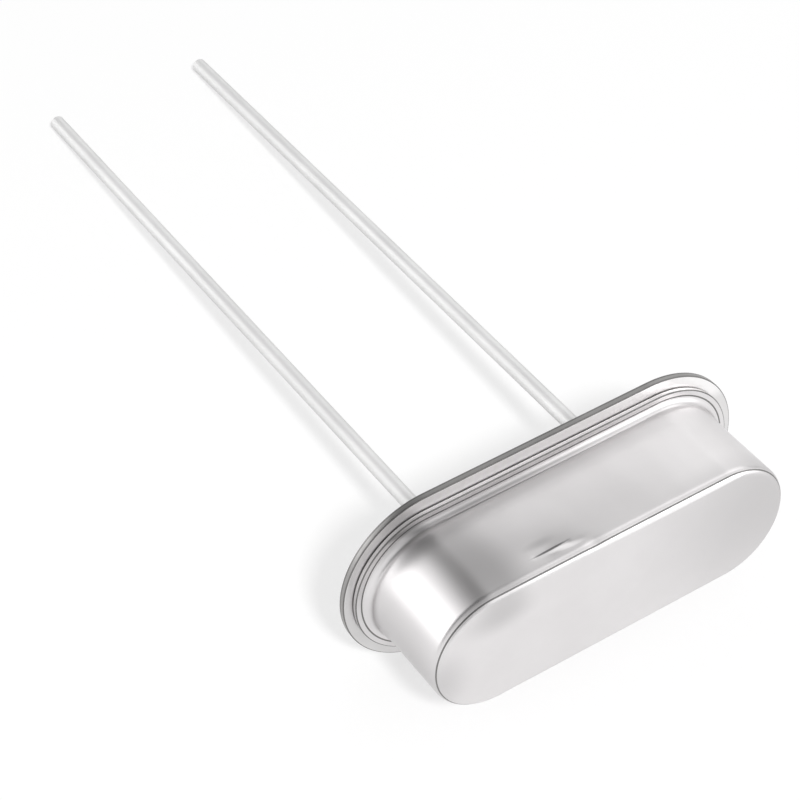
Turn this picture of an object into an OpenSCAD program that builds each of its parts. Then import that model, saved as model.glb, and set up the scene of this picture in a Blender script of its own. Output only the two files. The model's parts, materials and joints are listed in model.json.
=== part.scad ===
// Low-profile quartz crystal unit with two wire leads, lying on its side.
//
// Every piece is drawn in the package's own frame: the header's underside is
// z = 0, the closed end of the can is up and the leads run down. lying() then
// lays the whole unit down as it comes to rest, on the lower edge of the
// header's rim and on the two lead tips.

/* [Can] */
// Length of the can's body, outside
can_l = 10.2; // [8.5:0.1:13]
// Width of the can's body, outside
can_w = 3.5; // [2.9:0.1:5]
// Height of the can, from the seat of its flange to the closed end
can_h = 3.02; // [2.5:0.02:5]
// Thickness of the drawn wall and of the closed end
can_wall = 0.2; // [0.15:0.01:0.25]
// How far the flange stands out from the body
can_flange_out = 0.39; // [0.35:0.01:0.6]
// Thickness of the flange
can_flange_t = 0.15; // [0.1:0.01:0.2]
// Radius where the wall turns out into the flange, outside
can_root_r = 0.25; // [0.1:0.01:0.3]
// Radius of the same bend on the inside, at the can's mouth
can_mouth_r = 0.35; // [0.1:0.01:0.4]
// Radius of the closed end's edge, outside
can_edge_r = 0.22; // [0.1:0.01:0.4]
// Radius of the closed end's edge, inside
can_corner_r = 0.1; // [0.05:0.01:0.2]

/* [Header] */
// How far the header's rim stands out past the can's flange at the ends
rim_out_l = 0.26; // [0.1:0.01:0.5]
// How far the rim stands out past the can's flange along the sides
rim_out_w = 0.36; // [0.1:0.01:0.5]
// Thickness of the rim
rim_t = 0.18; // [0.12:0.01:0.3]
// Height of the boss that stands inside the can, from the header's underside
boss_h = 0.9; // [0.6:0.05:1.2]
// Clearance between the boss and the can's inner wall
boss_gap = 0.1; // [0.05:0.01:0.15]
// Radius of the boss's upper edge
boss_edge_r = 0.12; // [0.05:0.01:0.2]
// Diameter of each glass seal and of its hole
seal_d = 1.4; // [0.9:0.1:1.7]
// How far the glass stops short of the header's faces
seal_recess = 0.08; // [0.02:0.01:0.15]

/* [Leads] */
// Distance between the two leads at the header
lead_pitch = 4.88; // [4:0.02:6]
// Diameter of the tinned wire outside the header
lead_d = 0.43; // [0.35:0.01:0.6]
// Thickness of the tin, which ends at the glass
tin_t = 0.015; // [0.005:0.005:0.02]
// Length of the leads below the header
lead_len = 22; // [10:0.5:27]
// Diameter of the nail head at the inner end of each lead
head_d = 0.6; // [0.5:0.05:1.1]
// Thickness of the nail head
head_t = 0.15; // [0.1:0.01:0.2]
// Height of the nail head's underside over the boss
head_gap = 0.15; // [0.05:0.01:0.25]

/* [Resonator] */
// Gap between each end of the quartz blank and the can's inner wall
blank_end_gap = 0.9; // [0.8:0.05:1.2]
// Width of the quartz blank
blank_w = 1.8; // [1.5:0.05:2.2]
// Thickness of the quartz blank
blank_t = 0.17; // [0.1:0.01:0.3]
// Length of each electrode's active area
electrode_l = 4.2; // [3:0.1:5]
// Width of each electrode's active area
electrode_w = 1.4; // [1:0.05:1.5]
// Width of the electrode's tail, which runs to one end of the blank
tail_w = 0.7; // [0.4:0.05:1]
// Thickness of the electrode film
electrode_t = 0.01; // [0.01:0.005:0.02]

/* [Clips] */
// Thickness of the clip's strip
clip_t = 0.1; // [0.06:0.01:0.12]
// Width of the clip's strip
clip_w = 1.3; // [1:0.05:1.6]
// Height of the clip, from its foot's underside to its shelf's top
clip_h = 0.6; // [0.45:0.05:0.7]
// Inner radius of the clip's folds
clip_fold_r = 0.08; // [0.04:0.01:0.1]
// How far the foot reaches in past the lead's axis
foot_in = 0.5; // [0.3:0.05:0.8]
// How far the shelf reaches in under the blank
shelf_in = 0.7; // [0.5:0.05:0.9]
// How far the shelf reaches out past the blank's end
shelf_out = 0.45; // [0.4:0.05:0.6]
// Height of the blank over the shelf, filled by the adhesive
glue_t = 0.03; // [0.02:0.01:0.05]
// Diameter of each adhesive dot
glue_d = 1; // [0.8:0.05:1.2]
// How far the middle of the dot lies in from the blank's end
glue_in = 0.1; // [0:0.05:0.3]
// Height of the dot over the blank
glue_over = 0.08; // [0.04:0.01:0.12]

/* [Hidden] */

$fn = 96;
LEFT = -1;
RIGHT = 1;
// How far a cutter runs out past each face that it opens.
cut_past = 1;

lead_r = lead_d / 2;
core_d = lead_d - 2 * tin_t;
can_top = rim_t + can_h;
can_spacing = can_l - can_w;
cavity_l = can_l - 2 * can_wall;
rim_l = can_l + 2 * (can_flange_out + rim_out_l);
rim_w = can_w + 2 * (can_flange_out + rim_out_w);
boss_w = can_w - 2 * (can_wall + boss_gap);
head_z = boss_h + head_gap;
foot_z = head_z + head_t;
shelf_z = foot_z + clip_h;
blank_z = shelf_z + glue_t;
blank_top = blank_z + blank_t;
blank_l = cavity_l - 2 * blank_end_gap;

// The angle between the leads and the surface, the height of the centre of the
// header's underside over that surface, and its place along Y, which puts the
// middle of the whole unit over the origin.
lay_angle = atan((rim_w / 2 - lead_r) / lead_len);
lay_z = rim_w / 2 * cos(lay_angle);
reach_tips = lead_len * cos(lay_angle) + lead_r * sin(lay_angle);
reach_can = (can_top - can_edge_r) * cos(lay_angle)
    + (can_w / 2 - can_edge_r) * sin(lay_angle) + can_edge_r;
lay_y = (reach_can - reach_tips) / 2;

// Lays the unit down, with its tips towards +Y.
module lying() {
    translate([0, lay_y, lay_z]) rotate([90 - lay_angle, 0, 0]) children();
}

// Sweeps a half-section (x outwards, y up) round a racetrack whose two end
// centres lie `spacing` apart along X.
module racetrack(spacing) {
    rotate([90, 0, 90]) linear_extrude(spacing, center = true) {
        children();
        mirror([1, 0]) children();
    }
    for (turn = [0, 180])
        rotate([0, 0, turn]) translate([spacing / 2, 0, 0])
            rotate([0, 0, -90]) rotate_extrude(angle = 180) children();
}

// A slab from the axis out to `half_w`, with its upper outer edge rounded.
module rounded_half(half_w, height, edge_r) {
    square([half_w - edge_r, height]);
    square([half_w, height - edge_r]);
    translate([half_w - edge_r, height - edge_r]) intersection() {
        circle(edge_r);
        square(edge_r);
    }
}

// What a concave bend of radius `bend_r` adds in a right-angled corner.
module bend_corner(bend_r) {
    difference() {
        square(bend_r);
        translate([bend_r, bend_r]) circle(bend_r);
    }
}

module can_half_section() {
    half_w = can_w / 2;
    difference() {
        union() {
            rounded_half(half_w, can_h, can_edge_r);
            square([half_w + can_flange_out, can_flange_t]);
            translate([half_w, can_flange_t]) bend_corner(can_root_r);
        }
        rounded_half(half_w - can_wall, can_h - can_wall, can_corner_r);
        translate([half_w - can_wall, 0]) bend_corner(can_mouth_r);
    }
}

module can() {
    color("#dedcdc") lying()
        translate([0, 0, rim_t]) racetrack(can_spacing) can_half_section();
}

module header() {
    color("#c9c8c8") lying() difference() {
        union() {
            racetrack(rim_l - rim_w) square([rim_w / 2, rim_t]);
            racetrack(can_spacing) rounded_half(boss_w / 2, boss_h, boss_edge_r);
        }
        for (side = [LEFT, RIGHT])
            translate([side * lead_pitch / 2, 0, -cut_past])
                cylinder(d = seal_d, h = boss_h + 2 * cut_past);
    }
}

module glass_seal(side) {
    color("#5f7f78") lying() translate([side * lead_pitch / 2, 0, 0]) difference() {
        translate([0, 0, seal_recess]) cylinder(d = seal_d, h = boss_h - 2 * seal_recess);
        cylinder(d = core_d, h = boss_h);
    }
}

// A straight wire, tinned up to the glass, with a nail head at its inner end.
module lead(side) {
    color("#e6e5e5") lying() translate([side * lead_pitch / 2, 0, 0]) {
        translate([0, 0, -lead_len]) cylinder(d = lead_d, h = lead_len + seal_recess);
        translate([0, 0, seal_recess]) cylinder(d = core_d, h = head_z - seal_recess);
        translate([0, 0, head_z]) cylinder(d = head_d, h = head_t);
    }
}

// The clip seen from the side: a foot on the nail head, a riser and a shelf,
// joined by two round folds.
module clip_section() {
    fold_out = clip_fold_r + clip_t;
    foot_x = lead_pitch / 2 - foot_in;
    riser_x = blank_l / 2 - shelf_in;
    shelf_end = blank_l / 2 + shelf_out;
    translate([foot_x, 0]) square([riser_x - clip_fold_r - foot_x, clip_t]);
    translate([riser_x - clip_fold_r, fold_out]) fold(-90);
    translate([riser_x, fold_out]) square([clip_t, clip_h - 2 * fold_out]);
    translate([riser_x + fold_out, clip_h - fold_out]) fold(90);
    translate([riser_x + fold_out, clip_h - clip_t])
        square([shelf_end - riser_x - fold_out, clip_t]);
}

// A quarter of a ring of strip, turned to start at `turn`.
module fold(turn) {
    rotate(turn) intersection() {
        difference() {
            circle(clip_fold_r + clip_t);
            circle(clip_fold_r);
        }
        square(clip_fold_r + clip_t);
    }
}

module clip(side) {
    color("#b9b39a") lying() mirror([side == LEFT ? 1 : 0, 0, 0])
        translate([0, clip_w / 2, foot_z]) rotate([90, 0, 0])
            linear_extrude(clip_w) clip_section();
}

module blank_body() {
    translate([-blank_l / 2, -blank_w / 2, blank_z]) cube([blank_l, blank_w, blank_t]);
}

module quartz_blank() {
    color("#cfe3e6") lying() blank_body();
}

// The active area in the middle of a face, with a tail to the blank's end.
module film(side) {
    translate([-electrode_l / 2, -electrode_w / 2]) square([electrode_l, electrode_w]);
    translate([side == LEFT ? -blank_l / 2 : 0, -tail_w / 2]) square([blank_l / 2, tail_w]);
}

module film_top() {
    translate([0, 0, blank_top]) linear_extrude(electrode_t) film(LEFT);
}

module film_bottom() {
    translate([0, 0, blank_z - electrode_t]) linear_extrude(electrode_t) film(RIGHT);
}

module electrode_top() {
    color("#d8d8de") lying() film_top();
}

module electrode_bottom() {
    color("#d8d8de") lying() film_bottom();
}

module adhesive(side) {
    color("#8f8f90") lying() difference() {
        translate([side * (blank_l / 2 - glue_in), 0, shelf_z])
            cylinder(d = glue_d, h = glue_t + blank_t + glue_over);
        blank_body();
        film_top();
        film_bottom();
    }
}

can();
header();
glass_seal(LEFT);  // glass_seal_left
glass_seal(RIGHT);  // glass_seal_right
lead(LEFT);  // lead_left
lead(RIGHT);  // lead_right
clip(LEFT);  // clip_left
clip(RIGHT);  // clip_right
quartz_blank();
electrode_top();
electrode_bottom();
adhesive(LEFT);  // adhesive_left
adhesive(RIGHT);  // adhesive_right
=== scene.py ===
"""A low-profile quartz crystal unit that lies on its side on a pale floor.

Sizes are in millimetres in the package's own frame, unless a docstring says
otherwise: the header's underside is z = 0, the closed end of the can is up, the
leads run down and the long side lies along x. LAY takes that frame to the row's
frame, in metres.
"""
import json
import logging
import math
from collections.abc import Callable, Iterable, Sequence
from dataclasses import dataclass
from enum import Enum

import bmesh
import bpy
from mathutils import Matrix, Vector


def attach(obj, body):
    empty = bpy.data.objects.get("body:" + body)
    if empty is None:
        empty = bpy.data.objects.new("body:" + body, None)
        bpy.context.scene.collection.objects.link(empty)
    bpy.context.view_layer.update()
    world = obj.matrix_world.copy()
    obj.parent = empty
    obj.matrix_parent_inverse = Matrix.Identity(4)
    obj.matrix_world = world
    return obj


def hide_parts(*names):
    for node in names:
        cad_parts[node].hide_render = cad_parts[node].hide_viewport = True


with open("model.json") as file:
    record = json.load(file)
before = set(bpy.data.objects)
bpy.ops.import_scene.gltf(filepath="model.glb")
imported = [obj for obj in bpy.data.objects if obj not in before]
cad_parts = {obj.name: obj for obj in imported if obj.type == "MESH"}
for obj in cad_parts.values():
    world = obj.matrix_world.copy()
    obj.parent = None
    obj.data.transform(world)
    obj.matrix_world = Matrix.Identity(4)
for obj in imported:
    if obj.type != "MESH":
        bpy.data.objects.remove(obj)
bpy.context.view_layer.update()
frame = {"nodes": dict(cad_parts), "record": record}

logging.basicConfig(level=logging.INFO, format="%(message)s")
log = logging.getLogger("crystal")

Colour = tuple[float, float, float]
Corner = tuple[float, float]
Stops = tuple[Corner, ...]
Socket = bpy.types.NodeSocket

MM = 0.001  # A millimetre, in metres.
MICRON = 1e-6  # A thousandth of a millimetre, in metres.
SAME_PLACE = 1e-3  # Points nearer than this count as one place, in millimetres.
WELD = 1e-4  # Points nearer than this are merged.
DUST = 1e-5  # Edges shorter than this are dissolved.
SHARP = math.radians(40)  # Edges that turn more than this are shaded sharp.


def package_frame() -> Matrix:
    """Finds how the package lies, from the mount on the header's underside.

    Returns:
        The matrix from the package's millimetres to the row's metres.
    """
    face = next(m for m in frame["record"]["mounts"] if m["name"] == "seating_face")
    up = -Vector(face["axis"]).normalized()
    side = Vector((1, 0, 0))
    turn = Matrix((side, up.cross(side), up)).transposed().to_4x4()
    return Matrix.Translation(face["pos_m"]) @ turn @ Matrix.Scale(MM, 4)


LAY = package_frame()


def grey(level: float) -> tuple[float, float, float, float]:
    """Gives an opaque grey."""
    return level, level, level, 1


def off_spine(co: Vector, spacing: float) -> float:
    """Gives how far a point lies from the spine of a racetrack, seen from above.

    Args:
        co: The point.
        spacing: The distance between the racetrack's two end centres.

    Returns:
        The distance.
    """
    return math.hypot(max(abs(co.x) - spacing / 2, 0), co.y)


class Side(Enum):
    """Which of the two leads a piece belongs to."""

    LEFT = -1
    RIGHT = 1

    def node(self, kind: str) -> str:
        """Names this side's CAD node or piece of one kind."""
        return f"{kind}_{self.name.lower()}"


class Grain(Enum):
    """How a metal's fine texture is stretched, as a scale along x, y and z."""

    EVEN = (1.0, 1.0, 1.0)
    DRAWN = (1.0, 1.0, 0.12)
    WIRE = (1.0, 1.0, 0.05)
    ROLLED = (0.15, 1.0, 1.0)


# ---------------------------------------------------------------- finishes


class Nodes:
    """A tree of shader nodes under way."""

    def __init__(self, tree: bpy.types.NodeTree) -> None:
        """Starts from a tree's own nodes."""
        self.tree = tree

    def add(self, kind: str, **settings: object) -> bpy.types.Node:
        """Adds a node.

        Args:
            kind: The node's type.
            settings: Its own settings, other than its sockets.

        Returns:
            The new node.
        """
        node = self.tree.nodes.new(kind)
        for key, value in settings.items():
            setattr(node, key, value)
        return node

    def link(self, source: Socket, target: Socket) -> None:
        """Joins two sockets."""
        self.tree.links.new(source, target)

    def join(self, kind: str, *sources: Socket, **settings: object) -> Socket:
        """Adds a node that makes one value from some others.

        Args:
            kind: The node's type.
            sources: The values, in the order of the node's inputs.
            settings: Its own settings, other than its sockets.

        Returns:
            The node's first output.
        """
        node = self.add(kind, **settings)
        for source, target in zip(sources, node.inputs):
            self.link(source, target)
        return node.outputs[0]

    def levels(self, value: Socket, low: float, high: float, stops: Stops) -> Socket:
        """Turns a value into a level by way of some stops.

        Args:
            value: What is looked up.
            low: The value where the ramp starts.
            high: The value where it ends.
            stops: Pairs of value and level.

        Returns:
            The level's socket.
        """
        fit, ramp = self.add("ShaderNodeMapRange"), self.add("ShaderNodeValToRGB")
        fit.inputs["From Min"].default_value = low
        fit.inputs["From Max"].default_value = high
        ramp.color_ramp.interpolation = "EASE"
        while len(ramp.color_ramp.elements) < len(stops):
            ramp.color_ramp.elements.new(0.5)
        for element, (at, level) in zip(ramp.color_ramp.elements, stops):
            element.position, element.color = (at - low) / (high - low), grey(level)
        self.link(value, fit.inputs["Value"])
        self.link(fit.outputs["Result"], ramp.inputs[0])
        return ramp.outputs[0]


class Graph(Nodes):
    """A material's nodes round one Principled shader, in the package's millimetres."""

    def __init__(self, name: str) -> None:
        """Starts a material whose patterns lie in the package's frame.

        Args:
            name: The material's name.
        """
        self.material = bpy.data.materials.new(name)
        self.material.use_nodes = True
        super().__init__(self.material.node_tree)
        self.shader = self.tree.nodes["Principled BSDF"]
        coords = self.add("ShaderNodeTexCoord")
        place = self.add("ShaderNodeMapping", vector_type="TEXTURE")
        origin, turn, scale = LAY.decompose()
        place.inputs["Location"].default_value = origin
        place.inputs["Rotation"].default_value = turn.to_euler()
        place.inputs["Scale"].default_value = scale
        self.link(coords.outputs["Object"], place.inputs["Vector"])
        self.place = place.outputs["Vector"]

    def noise(self, scale: float, detail: float = 2.0, stretch: Colour = (1, 1, 1),
              shift: float = 0.0) -> Socket:
        """Makes a cloudy pattern.

        Args:
            scale: Features per millimetre.
            detail: How many finer layers it has.
            stretch: Its scale along x, y and z.
            shift: Where in the pattern the piece lies, in millimetres.

        Returns:
            The pattern's value, about 0.5 on average.
        """
        squeeze = self.add("ShaderNodeMapping")
        squeeze.inputs["Scale"].default_value = stretch
        squeeze.inputs["Location"].default_value = (shift, shift, shift)
        self.link(self.place, squeeze.inputs["Vector"])
        cloud = self.add("ShaderNodeTexNoise")
        cloud.inputs["Scale"].default_value = scale
        cloud.inputs["Detail"].default_value = detail
        self.link(squeeze.outputs["Vector"], cloud.inputs["Vector"])
        return cloud.outputs["Fac"]

    def span(self, value: Socket, low: float, high: float,
             to_low: float = 0.0, to_high: float = 1.0) -> Socket:
        """Maps a value smoothly from one span to another.

        Args:
            value: What is mapped.
            low: Where the span starts.
            high: Where the span ends.
            to_low: What the start becomes.
            to_high: What the end becomes.

        Returns:
            The mapped value.
        """
        ramp = self.add("ShaderNodeMapRange", interpolation_type="SMOOTHSTEP")
        ends = {"From Min": low, "From Max": high, "To Min": to_low, "To Max": to_high}
        for key, number in ends.items():
            ramp.inputs[key].default_value = number
        self.link(value, ramp.inputs["Value"])
        return ramp.outputs["Result"]

    def near(self, mark: "Mark") -> Socket:
        """Makes a mark's soft shape.

        Args:
            mark: The mark.

        Returns:
            A value that falls from 1 in its core to 0 at its reach.
        """
        fit = self.add("ShaderNodeMapping", vector_type="TEXTURE")
        fit.inputs["Location"].default_value = mark.middle
        fit.inputs["Rotation"].default_value = (0, mark.tilt, 0)
        fit.inputs["Scale"].default_value = mark.reach
        self.link(self.place, fit.inputs["Vector"])
        away = self.add("ShaderNodeVectorMath", operation="LENGTH")
        self.link(fit.outputs["Vector"], away.inputs[0])
        return self.span(away.outputs["Value"], mark.core, 1.0, 1.0, 0.0)

    def mix(self, factor: Socket, first: Colour | Socket, second: Colour | Socket) -> Socket:
        """Blends two colours.

        Args:
            factor: How much of the second there is.
            first: A colour, or the socket that carries one.
            second: The other.

        Returns:
            The blend's socket.
        """
        blend = self.add("ShaderNodeMix", data_type="RGBA")
        self.link(factor, blend.inputs[0])
        # Its colours are sockets 6 and 7, after those for numbers and vectors.
        for socket, colour in ((blend.inputs[6], first), (blend.inputs[7], second)):
            if isinstance(colour, tuple):
                socket.default_value = (*colour, 1)
            else:
                self.link(colour, socket)
        return blend.outputs[2]

    def bump(self, height: Socket, depth: float, under: Socket | None = None) -> Socket:
        """Raises a surface by a pattern.

        Args:
            height: The pattern.
            depth: The height of a value of 1, in thousandths of a millimetre.
            under: The normal that it is laid over.

        Returns:
            The normal's socket.
        """
        node = self.add("ShaderNodeBump")
        node.inputs["Distance"].default_value = depth * MICRON
        self.link(height, node.inputs["Height"])
        if under is not None:
            self.link(under, node.inputs["Normal"])
        return node.outputs["Normal"]

    def drive(self, **sources: Socket) -> None:
        """Links patterns to the shader's own sockets, with _ for a space."""
        for key, source in sources.items():
            self.link(source, self.shader.inputs[key.replace("_", " ")])

    def set(self, **values: object) -> None:
        """Sets constants on the shader's own sockets, with _ for a space."""
        for key, value in values.items():
            self.shader.inputs[key.replace("_", " ")].default_value = value


@dataclass(frozen=True)
class Mark:
    """A soft-edged patch, streak or line of painted shade or painted highlight.

    The shade multiplies the metal's own colour. The tilt is a turn about y, and
    the core is the share of the reach over which the mark is at its full strength.
    """

    middle: Colour
    reach: Colour
    shade: float
    tilt: float = 0.0
    core: float = 0.1


@dataclass(frozen=True)
class Metal:
    """A bare or plated metal: patchy in colour and gloss, with a fine grain, and with any
    painted shade and painted highlight laid into its colour.
    """

    name: str
    colour: Colour
    patch: Colour
    roughness: float
    spread: float = 0.08
    grain: Grain = Grain.EVEN
    grain_per_mm: float = 22.0
    grain_um: float = 0.8
    ripple_um: float = 3.0
    ripple_per_mm: float = 0.8
    patch_per_mm: float = 0.55
    sheen_per_mm: float = 1.7
    fleck_per_mm: float = 9.0
    fleck: float = 0.25
    metallic: float = 1.0
    rim_tint: float = 1.0
    painted_light: tuple[Mark, ...] = ()

    def material(self) -> bpy.types.Material:
        """Builds the node material.

        Returns:
            The material.
        """
        g = Graph(self.name)
        stretch = self.grain.value
        cloud = g.span(g.noise(self.patch_per_mm, detail=4.0), 0.35, 0.65)
        specks = g.noise(self.fleck_per_mm, detail=3.0, stretch=stretch, shift=4.0)
        fleck = g.span(specks, 0.35, 0.8, 0.0, self.fleck)
        tone = g.mix(fleck, g.mix(cloud, self.colour, self.patch), self.patch)
        # Each of these paints shade or highlight into the metal's colour.
        for mark in self.painted_light:
            tone = g.mix(g.near(mark), tone, tuple(mark.shade * c for c in self.colour))
        gloss = g.noise(self.sheen_per_mm, detail=5.0, stretch=stretch, shift=9.0)
        sheen = g.span(gloss, 0.3, 0.7,
                       self.roughness - self.spread / 2, self.roughness + self.spread / 2)
        ripple = g.bump(g.noise(self.ripple_per_mm, detail=1.0, shift=2.0), self.ripple_um)
        grain = g.noise(self.grain_per_mm, stretch=stretch, shift=7.0)
        g.drive(Base_Color=tone, Roughness=sheen, Normal=g.bump(grain, self.grain_um, ripple))
        g.set(Metallic=self.metallic, Specular_Tint=grey(self.rim_tint))
        return g.material


@dataclass(frozen=True)
class SealGlass:
    """Dark glass, fused round a wire, with small bubbles and a cloudy tint."""

    name: str
    colour: Colour = (0.025, 0.045, 0.042)
    cloud: Colour = (0.05, 0.075, 0.07)
    bubble: Colour = (0.2, 0.24, 0.23)
    cloud_per_mm: float = 3.0
    bubble_per_mm: float = 14.0
    ripple_per_mm: float = 4.0
    ripple_um: float = 4.0
    index: float = 1.52

    def material(self) -> bpy.types.Material:
        """Builds the node material.

        Returns:
            The material.
        """
        g = Graph(self.name)
        haze = g.span(g.noise(self.cloud_per_mm, detail=4.0), 0.35, 0.7)
        bubble = g.span(g.noise(self.bubble_per_mm, detail=1.0), 0.66, 0.72)
        tone = g.mix(bubble, g.mix(haze, self.colour, self.cloud), self.bubble)
        g.drive(Base_Color=tone, Roughness=g.span(haze, 0.0, 1.0, 0.06, 0.14),
                Normal=g.bump(g.noise(self.ripple_per_mm), self.ripple_um))
        g.set(IOR=self.index)
        return g.material


@dataclass(frozen=True)
class Quartz:
    """A lapped quartz blank: clear, with a fine frost left by the lapping."""

    name: str
    clear: Colour = (0.9, 0.94, 0.95)
    frosted: Colour = (0.96, 0.97, 0.97)
    frost_per_mm: float = 30.0
    frost_um: float = 0.4
    index: float = 1.544
    clarity: float = 0.85

    def material(self) -> bpy.types.Material:
        """Builds the node material.

        Returns:
            The material.
        """
        g = Graph(self.name)
        frost = g.span(g.noise(self.frost_per_mm), 0.35, 0.7)
        g.drive(Base_Color=g.mix(frost, self.clear, self.frosted),
                Roughness=g.span(frost, 0.0, 1.0, 0.12, 0.25),
                Normal=g.bump(frost, self.frost_um))
        g.set(IOR=self.index, Transmission_Weight=self.clarity)
        return g.material


@dataclass(frozen=True)
class Epoxy:
    """Silver-filled epoxy: dull grey, with flakes that glint."""

    name: str
    resin: Colour = (0.42, 0.42, 0.43)
    flake: Colour = (0.72, 0.72, 0.73)
    flake_per_mm: float = 35.0
    lump_per_mm: float = 12.0
    lump_um: float = 5.0

    def material(self) -> bpy.types.Material:
        """Builds the node material.

        Returns:
            The material.
        """
        g = Graph(self.name)
        flake = g.span(g.noise(self.flake_per_mm), 0.5, 0.68)
        g.drive(Base_Color=g.mix(flake, self.resin, self.flake), Metallic=flake,
                Roughness=g.span(flake, 0.0, 1.0, 0.6, 0.35),
                Normal=g.bump(g.noise(self.lump_per_mm, detail=3.0), self.lump_um))
        return g.material


# Painted shade and painted highlight, laid into the can's colour.
CAN_PAINTED_LIGHT = (
    # The closed face: painted shade over the right half, and a patch of painted shade below the
    # upper edge.
    Mark((4.9, 0.4, 3.2), (4.9, 3.6, 1.0), 0.79),
    Mark((-3.2, 1.12, 3.2), (1.25, 0.7, 0.3), 0.78),
    # The upper wall: a streak of painted shade along its foot, painted shade over the
    # left half of the fillet, and a band of painted shade beside the left round end.
    Mark((-0.9, 1.8, 0.7), (4.4, 0.5, 0.24), 0.86),
    Mark((-3.6, 1.88, 0.41), (7.0, 0.18, 0.155), 0.46, core=0.3),
    Mark((-3.1, 1.75, 2.3), (1.0, 1.0, 2.6), 0.76, core=0.2),
    # A run of painted highlight on the closed end's upper edge.
    Mark((2.1, 1.63, 3.175), (3.6, 0.12, 0.09), 1.22, core=0.5),
    # Painted shade on the lower half of the left round end.
    Mark((-5.0, -0.25, 2.0), (1.2, 1.5, 3.0), 0.74),
    # The dent: painted shade in the hollow, a painted highlight on the swell beside the crease,
    # and a line of painted shade along the crease.
    Mark((-1.62, 1.75, 2.4), (0.55, 0.4, 0.17), 0.8),
    Mark((-1.1, 1.75, 2.82), (0.6, 0.4, 0.1), 1.24, tilt=-0.1, core=0.45),
    Mark((-1.48, 1.75, 2.69), (0.66, 0.4, 0.042), 0.28, tilt=0.02, core=0.4),
)
HEADER_PAINTED_LIGHT = (
    # The rim: painted highlight over the upper side, and painted shade at the left end.
    Mark((2.0, 2.4, 0.18), (8.4, 1.6, 0.4), 1.24, core=0.75),
    Mark((-5.6, -0.5, 0.18), (1.6, 1.9, 0.4), 0.82),
)
CAN_STEEL = Metal(
    "can_steel", (0.79, 0.773, 0.776), (0.765, 0.747, 0.75), 0.35, 0.04, Grain.DRAWN,
    grain_um=0.12, ripple_um=1.0, ripple_per_mm=0.35, fleck=0.15, rim_tint=0.9, painted_light=CAN_PAINTED_LIGHT)
HEADER_STEEL = Metal(
    "header_steel", (0.78, 0.77, 0.768), (0.74, 0.73, 0.73), 0.32, 0.06, Grain.ROLLED,
    grain_um=0.2, ripple_um=1.0, ripple_per_mm=0.4, painted_light=HEADER_PAINTED_LIGHT)
CUT_EDGE = Metal(
    "cut_edge", (0.36, 0.354, 0.35), (0.32, 0.314, 0.31), 0.4, 0.1, Grain.DRAWN, grain_um=0.6)
# Dark lines of painted shade and painted reflection along the edges of the can and the header's
# rim.
PAINTED_EDGE_SHADE = Metal(
    "edge_line", (0.22, 0.216, 0.213), (0.18, 0.177, 0.175), 0.42, 0.1, grain_um=0.3)
TINNED_WIRE = Metal(
    "tinned_wire", (0.89, 0.888, 0.886), (0.84, 0.838, 0.836), 0.58, 0.08, Grain.WIRE,
    grain_per_mm=16.0, grain_um=0.6, ripple_um=1.0, metallic=0.6, rim_tint=0.0)
CLIP_STRIP = Metal(
    "clip_strip", (0.62, 0.60, 0.54), (0.52, 0.50, 0.45), 0.28, 0.1, Grain.ROLLED)
SILVER_FILM = Metal(
    "silver_film", (0.86, 0.86, 0.88), (0.80, 0.80, 0.82), 0.12, 0.06,
    ripple_um=0.5, grain_um=0.2)
SEAL_GLASS = SealGlass("seal_glass")
QUARTZ = Quartz("quartz")
SILVER_EPOXY = Epoxy("silver_epoxy")


# ------------------------------------------------------------------ shapes


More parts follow.
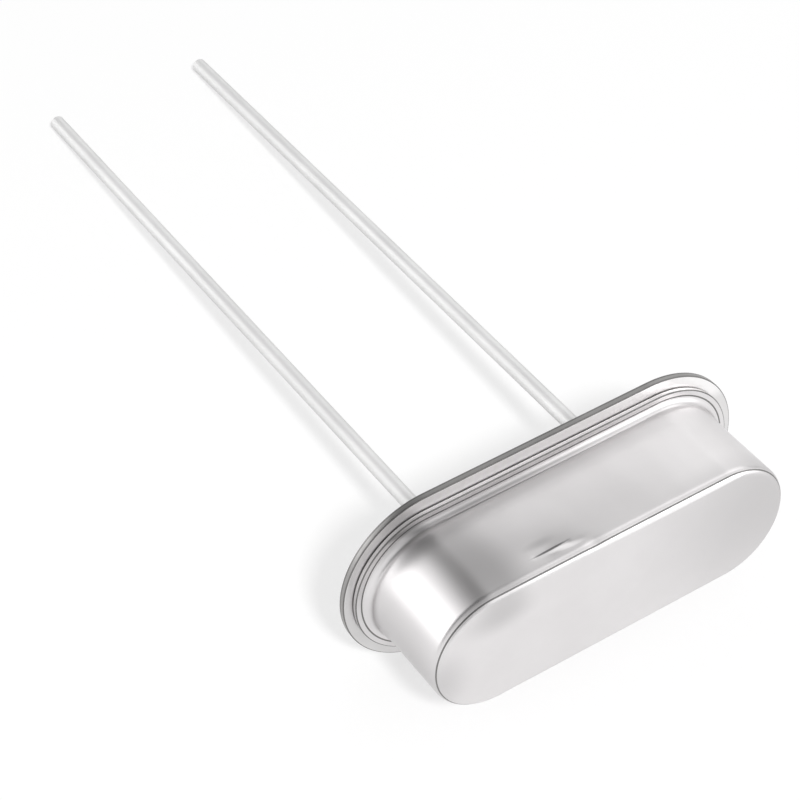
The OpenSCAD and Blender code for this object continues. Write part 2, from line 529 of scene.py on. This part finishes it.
class Shape:
    """A mesh under way, in the package's millimetres."""

    def __init__(self) -> None:
        """Starts an empty mesh."""
        self.bm = bmesh.new()

    def sweep(self, corners: Sequence[Corner], spacing: float, runs: int, steps: int) -> None:
        """Sweeps a section round a racetrack.

        Args:
            corners: The section, as pairs of offset from the spine and height.
            spacing: The distance between the racetrack's two end centres.
            runs: How many strips each straight side has.
            steps: How many strips each round end has.
        """
        half = spacing / 2
        points = [self.bm.verts.new((-half, -offset, z)) for offset, z in corners]
        front: list = points + [self.bm.edges.new(pair) for pair in zip(points, points[1:])]
        for way in (1, -1):
            for _ in range(runs):
                edges = [e for e in front if isinstance(e, bmesh.types.BMEdge)]
                front = bmesh.ops.extrude_edge_only(self.bm, edges=edges)["geom"]
                moved = [v for v in front if isinstance(v, bmesh.types.BMVert)]
                bmesh.ops.translate(self.bm, verts=moved, vec=(way * spacing / runs, 0, 0))
                ends = set(moved)
                front = moved + [e for v in moved for e in v.link_edges
                                 if set(e.verts) <= ends and e.verts[0] == v]
            front = bmesh.ops.spin(self.bm, geom=front, cent=(way * half, 0, 0), axis=(0, 0, 1),
                                   angle=math.pi, steps=steps, use_merge=False)["geom_last"]
        self.weld()

    def weld(self) -> None:
        """Merges points that meet, and turns every face outwards."""
        bmesh.ops.remove_doubles(self.bm, verts=self.bm.verts, dist=WELD)
        bmesh.ops.dissolve_degenerate(self.bm, edges=self.bm.edges, dist=DUST)
        bmesh.ops.recalc_face_normals(self.bm, faces=self.bm.faces)

    def edges_at(self, z: float, on: Callable[[Vector], bool]) -> list[bmesh.types.BMEdge]:
        """Finds the edges at one height whose two ends pass a test.

        Args:
            z: Their height.
            on: Tells whether a point lies where the edges run.

        Returns:
            The edges.
        """
        return [e for e in self.bm.edges
                if all(abs(v.co.z - z) < SAME_PLACE and on(v.co) for v in e.verts)]

    def loop(self, spacing: float, offset: float, z: float) -> list[bmesh.types.BMEdge]:
        """Finds the edges that run round a racetrack.

        Args:
            spacing: The distance between the racetrack's end centres.
            offset: How far from the spine the edges lie.
            z: Their height.

        Returns:
            The edges.
        """
        return self.edges_at(z, lambda co: abs(off_spine(co, spacing) - offset) < SAME_PLACE)

    def ring(self, x: float, radius: float, z: float) -> list[bmesh.types.BMEdge]:
        """Finds the edges of a circle about a vertical axis in the plane y = 0."""
        return self.edges_at(z, lambda co: abs(math.hypot(co.x - x, co.y) - radius) < SAME_PLACE)

    def round_off(self, edges: list[bmesh.types.BMEdge], radius: float, segments: int) -> None:
        """Rounds edges.

        Args:
            edges: Which edges.
            radius: The new radius.
            segments: How many faces make it up.
        """
        bmesh.ops.bevel(self.bm, geom=edges, offset=radius, offset_type="OFFSET",
                        segments=segments, profile=0.5, affect="EDGES", clamp_overlap=False,
                        material=-1)

    def slice(self, heights: Iterable[float]) -> None:
        """Cuts the faces at some heights, so that they can bend there.

        Args:
            heights: The heights.
        """
        for z in heights:
            everything = [*self.bm.verts, *self.bm.edges, *self.bm.faces]
            bmesh.ops.bisect_plane(self.bm, geom=everything, dist=DUST,
                                   plane_co=(0, 0, z), plane_no=(0, 0, 1))

    def shift(self, move: Callable[[Vector], Vector]) -> None:
        """Moves every point by a function of its place."""
        for v in self.bm.verts:
            v.co += move(v.co)

    def paint(self, slot: int, chosen: Callable[[float, float], bool], spacing: float) -> None:
        """Gives some faces a material slot.

        Args:
            slot: The slot's number.
            chosen: Tells from a face's offset from the spine and its height
                whether it gets the slot.
            spacing: The distance between the racetrack's end centres.
        """
        for face in self.bm.faces:
            at = face.calc_center_median()
            if chosen(off_spine(at, spacing), at.z):
                face.material_index = slot

    def piece(self, name: str, finishes: Sequence[bpy.types.Material], nodes: Sequence[str],
              slot: str) -> None:
        """Lays the mesh down in the row's frame as a finished piece.

        Args:
            name: The piece's name.
            finishes: Its materials, in the order of the faces' slots.
            nodes: The CAD nodes that it stands for.
            slot: The record's material slot; not used.
        """
        for face in self.bm.faces:
            face.smooth = True
        bmesh.ops.transform(self.bm, matrix=LAY, verts=self.bm.verts)
        mesh = bpy.data.meshes.new(name)
        self.bm.to_mesh(mesh)
        self.bm.free()
        mesh.set_sharp_from_angle(angle=SHARP)
        for finish in finishes:
            mesh.materials.append(finish)
        piece = bpy.data.objects.new(name, mesh)
        bpy.context.scene.collection.objects.link(piece)
        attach(piece, "root")
        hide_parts(*nodes)
        log.info("%s: %d faces, stands for %s", name, len(mesh.polygons), ", ".join(nodes))


# ------------------------------------------------------------ sub-assemblies


@dataclass(frozen=True)
class Bell:
    """A soft round rise in the upper wall, given along x and z."""

    middle: Corner
    reach: Corner
    height: float

    def away(self, co: Vector) -> Corner:
        """Gives how far along x and z a point lies from the middle, in reaches."""
        return (co.x - self.middle[0]) / self.reach[0], (co.z - self.middle[1]) / self.reach[1]

    def at(self, co: Vector) -> float:
        """Gives the rise at a point."""
        u, v = self.away(co)
        return self.height * math.exp(-u ** 2 - v ** 2)


@dataclass(frozen=True)
class Furrow:
    """A narrow furrow in the upper wall, between two ends given along x and z."""

    start: Corner
    end: Corner
    reach: float
    depth: float

    def at(self, co: Vector) -> float:
        """Gives the depth at a point, which fades along both sides and both ends.

        Args:
            co: The point.

        Returns:
            The depth.
        """
        hit, start = Vector((co.x, co.z)), Vector(self.start)
        run = Vector(self.end) - start
        along = min(max((hit - start).dot(run) / run.length_squared, 0), 1)
        return self.depth * math.exp(-((hit - start - run * along).length / self.reach) ** 2)


@dataclass(frozen=True)
class Dent:
    """A crease in a shallow hollow of the upper wall, and what it pushed aside.

    Beside the crease the metal swells on one side and sinks on the other, and the
    closed end's edge has a kink.
    """

    from_z: float = 1.8
    hollow: Bell = Bell((-1.5, 2.62), (0.55, 0.3), 0.02)
    crease: Furrow = Furrow((-1.9, 2.70), (-1.0, 2.72), 0.06, 0.006)
    kink: Bell = Bell((-0.5, 3.12), (0.2, 0.14), 0.012)
    swell: Bell = Bell((-1.1, 2.81), (0.35, 0.1), 0.0175)
    row_from: float = 2.4
    row_gap: float = 0.028
    row_count: int = 20

    def rows(self) -> list[float]:
        """Gives the heights of the close rows of points that the dent needs."""
        return [self.row_from + self.row_gap * n for n in range(self.row_count)]

    def push(self, co: Vector) -> Vector:
        """Gives how far the dent moves a point of the upper wall."""
        swell = -self.swell.away(co)[0] * self.swell.at(co)
        return Vector((0, swell - self.hollow.at(co) - self.crease.at(co) - self.kink.at(co), 0))


@dataclass
class Can:
    """The drawn can, with its flange, its rounded closed end and one small dent.

    The line_ sizes place the lines of painted shade along its edges, the bow_ and
    flare_ sizes say how far its walls leave the straight, and spare is the width of
    the flat row that keeps the shading beside each bend true.
    """

    length: float = 10.2
    width: float = 3.5
    seat: float = 0.18
    top: float = 3.2
    wall: float = 0.2
    flange_out: float = 0.39
    flange_t: float = 0.15
    root_r: float = 0.25
    mouth_r: float = 0.35
    edge_r: float = 0.22
    corner_r: float = 0.1
    shear_r: float = 0.026
    roll_r: float = 0.05
    spare: float = 0.03
    runs: int = 130
    steps: int = 72
    first_row: float = 0.04
    row_gap: float = 0.1
    row_count: int = 17
    line_w: float = 0.036
    line_half: float = 0.01
    line_drop: float = 0.295
    line_rise: float = 0.02
    line_roll: float = 0.6
    bow_out: float = 0.1
    bow_least: float = 0.3
    bow_end: float = 0.7
    bow_below: float = 0.1
    flare_out: float = 0.045
    flare_h: float = 0.3
    still: float = 0.4
    dent: Dent = Dent()

    @property
    def spacing(self) -> float:
        """The distance between the two round ends' centres."""
        return self.length - self.width

    @property
    def lip(self) -> float:
        """The height of the flange's upper face."""
        return self.seat + self.flange_t

    @property
    def foot(self) -> float:
        """The height where the wall's straight part starts."""
        return self.lip + self.root_r

    @property
    def shoulder(self) -> float:
        """The height where the wall's straight part ends."""
        return self.top - self.edge_r

    @property
    def outer(self) -> float:
        """The offset from the spine from which the flare and the dent move points."""
        return self.width / 2 - self.wall - self.still

    def section(self) -> list[Corner]:
        """Gives the wall's section with sharp corners and a spare row beside each bend.

        Returns:
            The section, as pairs of offset from the spine and height.
        """
        half, out = self.width / 2, self.width / 2 + self.flange_out
        return [
            (0, self.top), (half - self.edge_r - self.spare, self.top), (half, self.top),
            (half, self.lip), (out - self.shear_r - self.spare, self.lip), (out, self.lip),
            (out, self.seat), (out - self.roll_r - self.spare, self.seat),
            (half - self.wall, self.seat), (half - self.wall, self.top - self.wall),
            (0, self.top - self.wall),
        ]

    def bow(self, co: Vector) -> Vector:
        """Swells the two long walls a little, as the real ones spring out after drawing.

        Args:
            co: A point of the can.

        Returns:
            How far the swelling moves it.
        """
        end = self.length / 2 - self.bow_end
        if not self.foot - self.bow_below < co.z < self.top or abs(co.x) > end:
            return Vector()
        along = 1 - (co.x / end) ** 4
        share = min(max((co.z - self.foot) / (self.shoulder - self.foot), 0), 1)
        up = self.bow_least + (1 - self.bow_least) * math.sin(math.pi * share)
        if co.z > self.shoulder:
            up *= max((self.top - co.z) / self.edge_r, 0)
        out = self.bow_out * along ** 2 * up * min(abs(co.y), 1)
        return Vector((0, math.copysign(out, co.y), 0))

    def flare(self, co: Vector) -> Vector:
        """Leans the wall's foot out a little, so that it runs softly into the flange.

        Args:
            co: A point of the can.

        Returns:
            How far the flare moves it, away from the spine.
        """
        spine = Vector((min(max(co.x, -self.spacing / 2), self.spacing / 2), 0, 0))
        out = Vector((co.x, co.y, 0)) - spine
        if out.length < self.outer or co.z < self.lip:
            return Vector()
        if co.z < self.foot:
            rise = min((co.z - self.lip) / self.root_r, 1)
        else:
            rise = math.exp(-((co.z - self.foot) / self.flare_h) ** 2)
        return out.normalized() * self.flare_out * rise

    def dented(self, co: Vector) -> Vector:
        """Gives how far the dent moves a point, which is nothing off the upper wall."""
        on_wall = co.y >= self.outer and co.z >= self.dent.from_z
        return self.dent.push(co) if on_wall else Vector()

    def in_painted_shade_line(self, reach: float, z: float) -> bool:
        """Tells whether a face is part of a dark line of painted shade along one of the can's
        edges.

        Args:
            reach: The face's offset from the spine.
            z: Its height.

        Returns:
            Whether it is.
        """
        half, out = self.width / 2, self.width / 2 + self.flange_out
        root = half + self.root_r
        return (
            (half - self.edge_r < reach
             and abs(z - self.top + self.line_drop * self.edge_r) < self.line_half)
            or (root - self.line_w < reach < root
                and self.lip - SAME_PLACE < z < self.lip + self.line_rise)
            or (out - self.shear_r < reach and self.lip - self.shear_r < z)
            or (out - self.roll_r < reach and z < self.seat + self.line_roll * self.roll_r)
        )

    def build(self) -> None:
        """Builds the can and gives it its finishes."""
        shape = Shape()
        shape.sweep(self.section(), self.spacing, self.runs, self.steps)
        half, out = self.width / 2, self.width / 2 + self.flange_out
        for offset, z, radius, segments in (
            (half, self.top, self.edge_r, 9),
            (half, self.lip, self.root_r, 10),
            (out, self.lip, self.shear_r, 4),
            (out, self.seat, self.roll_r, 4),
            (half - self.wall, self.seat, self.mouth_r, 8),
            (half - self.wall, self.top - self.wall, self.corner_r, 4),
        ):
            shape.round_off(shape.loop(self.spacing, offset, z), radius, segments)
        rows = [self.foot + self.row_gap * n for n in range(1, self.row_count + 1)]
        shape.slice([self.foot + self.first_row, *rows, *self.dent.rows(),
                     self.shoulder - self.spare])
        shape.weld()
        # Slot 1 is painted shade: dark lines on the closed end's edge, the fillet's start and
        # the flange's two outer edges.
        shape.paint(1, self.in_painted_shade_line, self.spacing)
        for move in (self.flare, self.bow, self.dented):
            shape.shift(move)
        finishes = [CAN_STEEL.material(), PAINTED_EDGE_SHADE.material()]
        shape.piece("can_shell", finishes, ["can"], "can_steel")


@dataclass
class Header:
    """The base plate: a thin rim that shows all round, and a boss inside the can.

    The rim's cut edge is dull from the burr up, and has lines of painted shade below
    the burr and on the sheared upper edge.
    """

    rim_length: float = 11.5
    rim_width: float = 5.0
    rim_t: float = 0.18
    boss_length: float = 9.6
    boss_width: float = 2.9
    boss_h: float = 0.9
    boss_edge_r: float = 0.12
    shear_r: float = 0.026
    burr: float = 0.06
    hole_d: float = 1.4
    hole_edge_r: float = 0.03
    pitch: float = 4.88
    spare: float = 0.03
    upper_strip: float = 0.5
    lower_strip: float = 0.3
    runs: int = 100
    steps: int = 72

    def build(self) -> None:
        """Builds the plate from two swept strips, filled between the holes."""
        rim_gap, boss_gap = self.rim_length - self.rim_width, self.boss_length - self.boss_width
        rim, boss, hole = self.rim_width / 2, self.boss_width / 2, self.hole_d / 2
        inner, lower = rim - self.upper_strip, rim - self.lower_strip
        near, brim = self.shear_r + self.spare, boss - self.boss_edge_r - self.spare
        holes = [side.value * self.pitch / 2 for side in Side]
        shape = Shape()
        bm = shape.bm
        shape.sweep([(inner, self.rim_t), (rim - near, self.rim_t), (rim, self.rim_t),
                     (rim, self.burr), (rim, 0), (rim - near, 0), (lower, 0)],
                    rim_gap, self.runs, self.steps)
        shape.sweep([(boss, self.rim_t), (boss, self.boss_h), (brim, self.boss_h)],
                    boss_gap, self.runs, self.steps)
        ledge = shape.loop(rim_gap, inner, self.rim_t) + shape.loop(boss_gap, boss, self.rim_t)
        bmesh.ops.bridge_loops(bm, edges=ledge)
        for z, mouth, spacing in ((self.boss_h, brim, boss_gap), (0.0, lower, rim_gap)):
            for x in holes:
                bmesh.ops.create_circle(bm, segments=self.steps, radius=hole,
                                        matrix=Matrix.Translation((x, 0, z)))
            edges = shape.loop(spacing, mouth, z)
            for x in holes:
                edges += shape.ring(x, hole, z)
            bmesh.ops.triangle_fill(bm, use_beauty=True, edges=edges)
        for x in holes:
            tube = shape.ring(x, hole, 0) + shape.ring(x, hole, self.boss_h)
            bmesh.ops.bridge_loops(bm, edges=tube)
        shape.weld()
        for z in (0.0, self.rim_t):
            shape.round_off(shape.loop(rim_gap, rim, z), self.shear_r, segments=4)
        shape.round_off(shape.loop(boss_gap, boss, self.boss_h), self.boss_edge_r, segments=5)
        for x in holes:
            for z in (0.0, self.boss_h):
                shape.round_off(shape.ring(x, hole, z), self.hole_edge_r, segments=3)
        shape.weld()
        flank, crown = rim - self.shear_r, self.rim_t - self.shear_r
        shape.paint(1, lambda reach, z: reach > flank and self.burr < z < crown, rim_gap)
        # Slot 2 is painted shade: dark lines below the burr and on the sheared upper edge.
        shape.paint(2, lambda reach, z: reach > flank and (
            z < self.burr or crown < z < self.rim_t), rim_gap)
        finishes = [HEADER_STEEL.material(), CUT_EDGE.material(), PAINTED_EDGE_SHADE.material()]
        shape.piece("header_plate", finishes, ["header"], "header_steel")


@dataclass
class Lead:
    """One tinned wire with its bare core in the glass and a nail head inside."""

    side: Side
    pitch: float = 4.88
    length: float = 22.0
    radius: float = 0.215
    core_r: float = 0.2
    taper_h: float = 0.03
    taper_in: float = 0.003
    head_r: float = 0.3
    head_z: float = 1.05
    head_t: float = 0.15
    head_edge_r: float = 0.03
    tip_r: float = 0.035
    tip_row: float = 0.1
    steps: int = 64

    def rings(self) -> list[Corner]:
        """Gives the height and radius of each ring above the cut tip.

        Returns:
            The rings: one near the tip, one a millimetre along the wire, the taper
            where the tin ends, and the nail head.
        """
        head_top = self.head_z + self.head_t
        return [
            (-self.length + self.tip_row, self.radius),
            *((-self.length + n, self.radius) for n in range(1, int(self.length))),
            (-2 * self.taper_h, self.radius), (-self.taper_h, self.radius - self.taper_in),
            (0.0, self.core_r + self.taper_in), (self.taper_h, self.core_r),
            (self.head_z, self.core_r), (self.head_z, self.head_r), (head_top, self.head_r),
        ]

    def build(self, finish: bpy.types.Material) -> None:
        """Draws the wire up from its cut tip.

        Args:
            finish: The wire's material.
        """
        shape = Shape()
        bm = shape.bm
        x = self.side.value * self.pitch / 2
        bmesh.ops.create_circle(bm, cap_ends=True, segments=self.steps, radius=self.radius,
                                matrix=Matrix.Translation((x, 0, -self.length)))
        face = bm.faces[:][0]
        bmesh.ops.reverse_faces(bm, faces=[face])
        for count, (z, radius) in enumerate(self.rings()):
            # Only the first extrusion keeps its face, which closes the tip.
            made = bmesh.ops.extrude_face_region(bm, geom=[face], use_keep_orig=count == 0)
            face = next(f for f in made["geom"] if isinstance(f, bmesh.types.BMFace))
            middle = face.calc_center_median()
            wide = (face.verts[0].co - middle).length
            bmesh.ops.scale(bm, vec=(radius / wide, radius / wide, 1),
                            space=Matrix.Translation(-middle), verts=face.verts)
            bmesh.ops.translate(bm, verts=face.verts, vec=(0, 0, z - middle.z))
        shape.weld()
        shape.round_off(shape.ring(x, self.radius, -self.length), self.tip_r, segments=4)
        for z in (self.head_z, self.head_z + self.head_t):
            shape.round_off(shape.ring(x, self.head_r, z), self.head_edge_r, segments=3)
        shape.weld()
        shape.piece(self.side.node("wire"), [finish], [self.side.node("lead")], "lead_wire")


@dataclass
class Seal:
    """One ring of glass, which climbs a little at the wire and at the hole.

    Each climb is a row of pairs: how far from the metal, and how far the glass
    stands proud of its flat part there.
    """

    side: Side
    pitch: float = 4.88
    hole_r: float = 0.7
    wire_r: float = 0.2
    low: float = 0.08
    high: float = 0.82
    wire_climb: tuple[Corner, ...] = ((0.0, 0.055), (0.05, 0.02), (0.16, 0.0))
    hole_climb: tuple[Corner, ...] = ((0.12, 0.0), (0.0, 0.03))
    steps: int = 64

    def section(self) -> list[Corner]:
        """Gives the ring's section.

        Returns:
            The section, as pairs of radius and height.
        """
        rows = [(self.wire_r + away, proud) for away, proud in self.wire_climb]
        rows += [(self.hole_r - away, proud) for away, proud in self.hole_climb]
        return ([(r, self.low - proud) for r, proud in rows]
                + [(r, self.high + proud) for r, proud in reversed(rows)])

    def build(self, finish: bpy.types.Material) -> None:
        """Turns the ring's section round the wire.

        Args:
            finish: The glass's material.
        """
        shape = Shape()
        bm = shape.bm
        points = [bm.verts.new((r, 0, z)) for r, z in self.section()]
        edges = [bm.edges.new((a, b)) for a, b in zip(points, points[1:] + points[:1])]
        bmesh.ops.spin(bm, geom=points + edges, cent=(0, 0, 0), axis=(0, 0, 1), angle=math.tau,
                       steps=self.steps, use_merge=True)
        shape.weld()
        bmesh.ops.translate(bm, verts=bm.verts, vec=(self.side.value * self.pitch / 2, 0, 0))
        shape.piece(self.side.node("seal"), [finish], [self.side.node("glass_seal")],
                    "seal_glass")


@dataclass
class Resonator:
    """The pieces inside the can, which keep their CAD shapes and get their finishes."""

    clips: tuple[str, ...] = ("clip_left", "clip_right")
    blanks: tuple[str, ...] = ("quartz_blank",)
    films: tuple[str, ...] = ("electrode_top", "electrode_bottom")
    dots: tuple[str, ...] = ("adhesive_left", "adhesive_right")

    def dress(self) -> None:
        """Gives each inner node its material."""
        for finish, nodes in ((CLIP_STRIP, self.clips), (QUARTZ, self.blanks),
                              (SILVER_FILM, self.films), (SILVER_EPOXY, self.dots)):
            material = finish.material()
            for name in nodes:
                for slot in frame["nodes"][name].material_slots:
                    slot.material = material
                log.info("%s: finished as %s", name, finish.name)


# ------------------------------------------------------------------ studio


@dataclass
class Camera:
    """The camera, by the angles, the aim and the distance from which it looks.

    The aim and the distance are in millimetres in the row's frame, the angles in
    degrees, and the near and far limits in metres.
    """

    azimuth: float = -31.7
    elevation: float = 47.7
    roll: float = -0.9
    aim: Vector = Vector((-1.80, -5.77, 4.35))
    distance: float = 60.0
    lens: float = 109.6
    sensor: float = 36.0
    near: float = 0.001
    far: float = 10.0

    def build(self) -> None:
        """Puts the camera in place and makes it the scene's own."""
        around, up = math.radians(self.azimuth), math.radians(self.elevation)
        back = Vector((math.sin(around) * math.cos(up), -math.cos(around) * math.cos(up),
                       math.sin(up)))
        right = Vector((0, 0, 1)).cross(back).normalized()
        level = Matrix((right, back.cross(right), back)).transposed()
        turn = (level @ Matrix.Rotation(math.radians(self.roll), 3, "Z")).to_4x4()
        data = bpy.data.cameras.new("camera")
        data.lens, data.sensor_width = self.lens, self.sensor
        data.clip_start, data.clip_end = self.near, self.far
        camera = bpy.data.objects.new("camera", data)
        place = (self.aim + back * self.distance) * MM
        camera.matrix_world = Matrix.Translation(place) @ turn
        bpy.context.scene.collection.objects.link(camera)
        bpy.context.scene.camera = camera


@dataclass
class Lamp:
    """A round softbox that points at the unit and shows in no gloss, in metres and watts."""

    name: str
    towards: Vector
    distance: float
    size: float
    watts: float

    def build(self) -> None:
        """Hangs the softbox."""
        data = bpy.data.lights.new(self.name, "AREA")
        data.shape, data.size, data.energy = "DISK", self.size, self.watts
        lamp = bpy.data.objects.new(self.name, data)
        way = self.towards.normalized()
        turn = way.to_track_quat("Z", "Y").to_matrix().to_4x4()
        lamp.matrix_world = Matrix.Translation(way * self.distance) @ turn
        lamp.visible_glossy = False
        lamp.visible_camera = False
        bpy.context.scene.collection.objects.link(lamp)


@dataclass
class Studio:
    """A pale floor, one soft lamp and a white surround with a few darker bands.

    The surround's levels are given along x, from -1 to 1, and over the unit, as
    the angle about x from the back, 0, to the front, pi. Each box is a brighter
    place, which is added.
    """

    floor_radius: float = 0.5
    floor_steps: int = 96
    floor_grey: float = 0.8
    shown_grey: float = 0.45
    shown_glow: float = 0.55
    ambient: float = 0.64
    across: Stops = (
        (-1.0, 1.0), (-0.6, 0.9), (-0.3, 0.5), (-0.08, 0.45), (0.2, 0.45), (0.37, 1.07),
        (0.48, 1.36), (0.66, 1.0), (1.0, 1.0))
    over: Stops = (
        (0.0, 1.05), (0.6, 1.05), (0.8, 0.9), (0.98, 0.15), (1.3, 0.15), (1.6, 0.8),
        (2.2, 0.9), (2.5, 1.05), (3.14, 1.0))
    boxes: tuple[tuple[Stops, Stops], ...] = (
        (((-1.0, 0.0), (-0.88, 0.6), (-0.7, 1.5), (-0.25, 1.5), (-0.1, 0.0), (1.0, 0.0)),
         ((0.0, 1.0), (0.6, 1.0), (0.9, 0.0), (3.14, 0.0))),
        (((-1.0, 0.0), (0.36, 0.0), (0.45, 1.0), (0.8, 1.0), (1.0, 0.0)),
         ((0.0, 0.0), (0.8, 0.0), (1.0, 1.3), (1.5, 1.3), (2.0, 0.0), (3.14, 0.0))),
        (((-1.0, 0.0), (0.28, 0.0), (0.38, 1.0), (0.45, 1.6), (0.8, 1.6), (1.0, 0.0)),
         ((0.0, 0.0), (2.35, 0.0), (2.6, 1.0), (3.05, 1.0), (3.14, 1.0))),
    )

    def seen(self, nodes: Nodes) -> Socket:
        """Tells whether the camera, a gloss or a clear piece looks at a surface.

        Args:
            nodes: The nodes that ask.

        Returns:
            A socket that is 1 for those rays and 0 for soft light.
        """
        path = nodes.add("ShaderNodeLightPath")
        total = path.outputs["Is Camera Ray"]
        for name in ("Is Glossy Ray", "Is Transmission Ray"):
            total = nodes.join("ShaderNodeMath", total, path.outputs[name], operation="MAXIMUM")
        return total

    def floor(self) -> None:
        """Lays the floor, which shows white but for the unit's shadow."""
        bm = bmesh.new()
        bmesh.ops.create_circle(bm, cap_ends=True, segments=self.floor_steps,
                                radius=self.floor_radius)
        mesh = bpy.data.meshes.new("floor")
        bm.to_mesh(mesh)
        bm.free()
        material = bpy.data.materials.new("floor")
        material.use_nodes = True
        nodes = Nodes(material.node_tree)
        nodes.tree.nodes.clear()
        pale, thin = nodes.add("ShaderNodeBsdfDiffuse"), nodes.add("ShaderNodeBsdfDiffuse")
        pale.inputs["Color"].default_value = grey(self.floor_grey)
        thin.inputs["Color"].default_value = grey(self.shown_grey)
        glow = nodes.add("ShaderNodeEmission")
        glow.inputs["Strength"].default_value = self.shown_glow
        shown = nodes.join("ShaderNodeAddShader", thin.outputs[0], glow.outputs[0])
        pick = nodes.join("ShaderNodeMixShader", self.seen(nodes), pale.outputs[0], shown)
        nodes.link(pick, nodes.add("ShaderNodeOutputMaterial").inputs["Surface"])
        mesh.materials.append(material)
        floor = bpy.data.objects.new("floor", mesh)
        bpy.context.scene.collection.objects.link(floor)

    def surround(self) -> None:
        """Surrounds the unit with white, in which the metal sees soft darker bands."""
        world = bpy.data.worlds.new("surround")
        world.use_nodes = True
        nodes = Nodes(world.node_tree)
        nodes.tree.nodes.clear()
        coords, split = nodes.add("ShaderNodeTexCoord"), nodes.add("ShaderNodeSeparateXYZ")
        nodes.link(coords.outputs["Generated"], split.inputs[0])
        arc = nodes.join("ShaderNodeMath", split.outputs["Z"], split.outputs["Y"],
                         operation="ARCTAN2")

        def patch(beside: Stops, above: Stops) -> Socket:
            """Makes the product of a level along x and one over the unit.

            Args:
                beside: The level's stops along x.
                above: Its stops over the unit.

            Returns:
                The product's socket.
            """
            across = nodes.levels(split.outputs["X"], -1, 1, beside)
            over = nodes.levels(arc, 0, math.pi, above)
            return nodes.join("ShaderNodeVectorMath", across, over, operation="MULTIPLY")

        level = patch(self.across, self.over)
        for box in self.boxes:
            level = nodes.join("ShaderNodeVectorMath", level, patch(*box), operation="ADD")
        white, soft, gloss = (nodes.add("ShaderNodeBackground") for _ in range(3))
        soft.inputs["Strength"].default_value = self.ambient
        for background in (white, soft):
            background.inputs["Color"].default_value = grey(1)
        nodes.link(level, gloss.inputs["Color"])
        unit = nodes.join("ShaderNodeMixShader", self.seen(nodes), soft.outputs[0],
                          gloss.outputs[0])
        camera_ray = nodes.add("ShaderNodeLightPath").outputs["Is Camera Ray"]
        whole = nodes.join("ShaderNodeMixShader", camera_ray, unit, white.outputs[0])
        nodes.link(whole, nodes.add("ShaderNodeOutputWorld").inputs["Surface"])
        bpy.context.scene.world = world

    def build(self) -> None:
        """Sets the whole studio up."""
        bpy.context.scene.view_settings.view_transform = "Standard"
        Camera().build()
        self.floor()
        self.surround()
        key = Vector((-0.17, -0.83, 1.0))
        Lamp("key", towards=key, distance=0.3, size=0.04, watts=0.44).build()


def main() -> None:
    """Builds the unit piece by piece."""
    Studio().build()
    Can().build()
    Header().build()
    wire, glass = TINNED_WIRE.material(), SEAL_GLASS.material()
    for side in Side:
        Lead(side).build(wire)
        Seal(side).build(glass)
    Resonator().dress()


if __name__ == "__main__":
    main()
